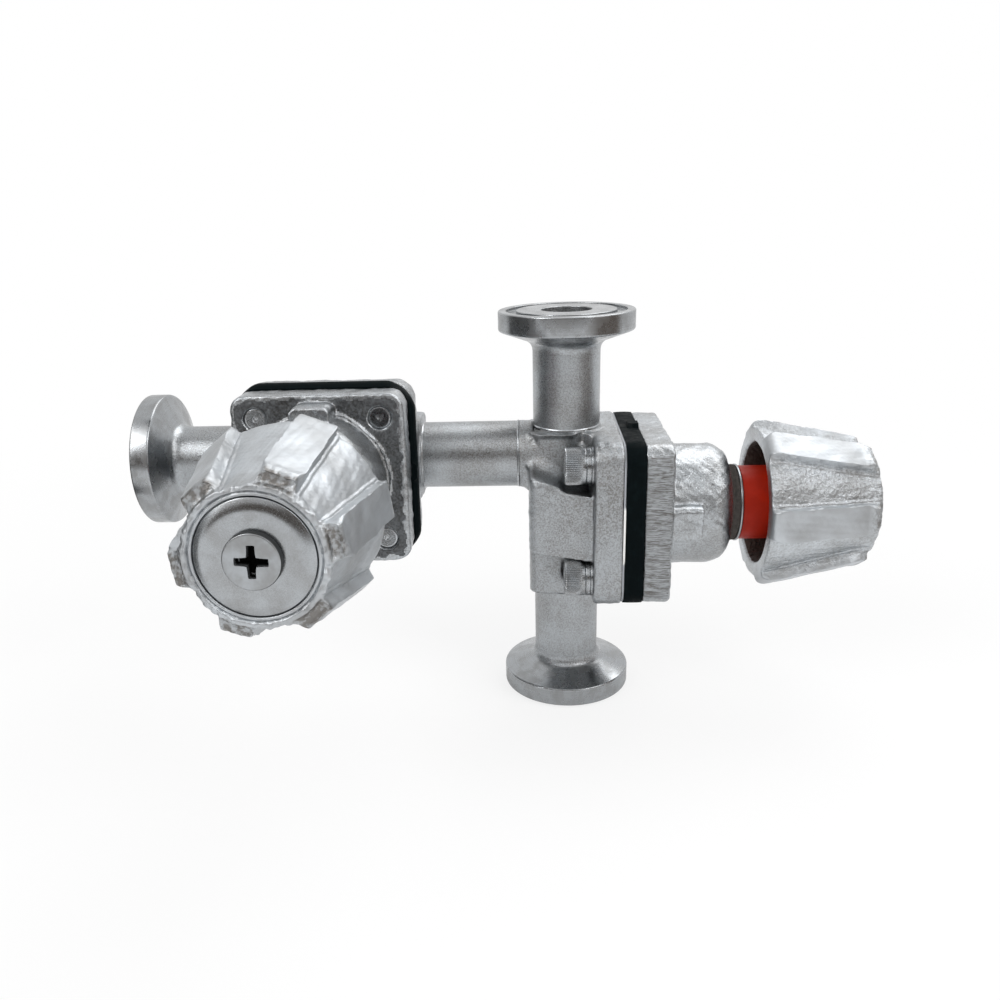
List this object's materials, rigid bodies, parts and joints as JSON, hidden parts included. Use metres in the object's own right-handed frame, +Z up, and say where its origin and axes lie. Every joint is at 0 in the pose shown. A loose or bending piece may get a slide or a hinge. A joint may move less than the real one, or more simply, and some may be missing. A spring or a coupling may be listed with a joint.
{
  "type": "tri-clamp diaphragm valve",
  "caption": "Stainless manifold of weir-type diaphragm valves with tapered lobed handwheels, square bonnets, a red position sleeve and sanitary clamp ferrule ports.",
  "frame": {"origin": "centre of the bottom ferrule's sealing face, on the upright run's axis", "axes": "+Z up along the upright run; +X along that valve's spindle towards its handwheel, away from the left port; -Y towards the viewer and the other handwheel"},
  "size_m": [0.1407, 0.0775, 0.0764],
  "materials": {
    "cast_body": "bead-blasted",
    "ferrule_steel": "blasted with brushed rims",
    "bonnet_steel": "ground sides, smooth dome",
    "handwheel_steel": "cast, satin lobes",
    "cap_steel": "fine matte",
    "fastener_steel": "bright",
    "spindle_steel": "turned",
    "diaphragm_rubber": "matt black",
    "diaphragm_facing": "smooth white",
    "indicator_red": "satin red"
  },
  "bodies": {
    "manifold": {"valve_body_a": "cast_body", "diaphragm_facing_a": "diaphragm_facing", "diaphragm_rubber_a": "diaphragm_rubber", "bonnet_a": "bonnet_steel", "spindle_bush_a": "spindle_steel", "indicator_sleeve_a": "indicator_red", "flange_screw_a1": "fastener_steel", "spring_washer_a1": "fastener_steel", "flat_washer_a1": "fastener_steel", "flange_screw_a2": "fastener_steel", "spring_washer_a2": "fastener_steel", "flat_washer_a2": "fastener_steel", "flange_screw_a3": "fastener_steel", "spring_washer_a3": "fastener_steel", "flat_washer_a3": "fastener_steel", "flange_screw_a4": "fastener_steel", "spring_washer_a4": "fastener_steel", "flat_washer_a4": "fastener_steel", "valve_body_b": "cast_body", "diaphragm_facing_b": "diaphragm_facing", "diaphragm_rubber_b": "diaphragm_rubber", "bonnet_b": "bonnet_steel", "spindle_bush_b": "spindle_steel", "indicator_sleeve_b": "indicator_red", "flange_screw_b1": "fastener_steel", "spring_washer_b1": "fastener_steel", "flat_washer_b1": "fastener_steel", "flange_screw_b2": "fastener_steel", "spring_washer_b2": "fastener_steel", "flat_washer_b2": "fastener_steel", "flange_screw_b3": "fastener_steel", "spring_washer_b3": "fastener_steel", "flat_washer_b3": "fastener_steel", "flange_screw_b4": "fastener_steel", "spring_washer_b4": "fastener_steel", "flat_washer_b4": "fastener_steel", "ferrule_left": "ferrule_steel", "ferrule_top": "ferrule_steel", "ferrule_bottom": "ferrule_steel", "link_tube": "ferrule_steel"},
    "compressor_a": {"compressor_a": "spindle_steel", "diaphragm_stud_a": "spindle_steel"},
    "handwheel_a": {"spindle_a": "spindle_steel", "handwheel_a": "handwheel_steel", "cap_plate_a": "cap_steel", "cap_screw_a": "fastener_steel"},
    "compressor_b": {"compressor_b": "spindle_steel", "diaphragm_stud_b": "spindle_steel"},
    "handwheel_b": {"spindle_b": "spindle_steel", "handwheel_b": "handwheel_steel", "cap_plate_b": "cap_steel", "cap_screw_b": "fastener_steel"}
  },
  "joints": [
    {"name": "compressor_slide_a", "type": "slide", "parent": "manifold", "child": "compressor_a", "axis": [0, -0.9993, 0.0384], "range_m": [-0.005, 0], "deforming": ["diaphragm_rubber_a", "diaphragm_facing_a"]},
    {"name": "handwheel_turn_a", "type": "hinge", "parent": "compressor_a", "child": "handwheel_a", "pos_m": [-0.044, 0, 0.049], "axis": [0, -0.9993, 0.0384], "range_deg": [-900, 0]},
    {"name": "compressor_slide_b", "type": "slide", "parent": "manifold", "child": "compressor_b", "axis": [1, 0, 0], "range_m": [-0.003, 0.002], "deforming": ["diaphragm_rubber_b", "diaphragm_facing_b"]},
    {"name": "handwheel_turn_b", "type": "hinge", "parent": "compressor_b", "child": "handwheel_b", "pos_m": [0, 0, 0.03835], "axis": [1, 0, 0], "range_deg": [-540, 360]}
  ],
  "couplings": [
    {"joint": "compressor_slide_a", "follows": "handwheel_turn_a", "m_per_rad": 0.0003183},
    {"joint": "compressor_slide_b", "follows": "handwheel_turn_b", "m_per_rad": 0.0003183}
  ]
}
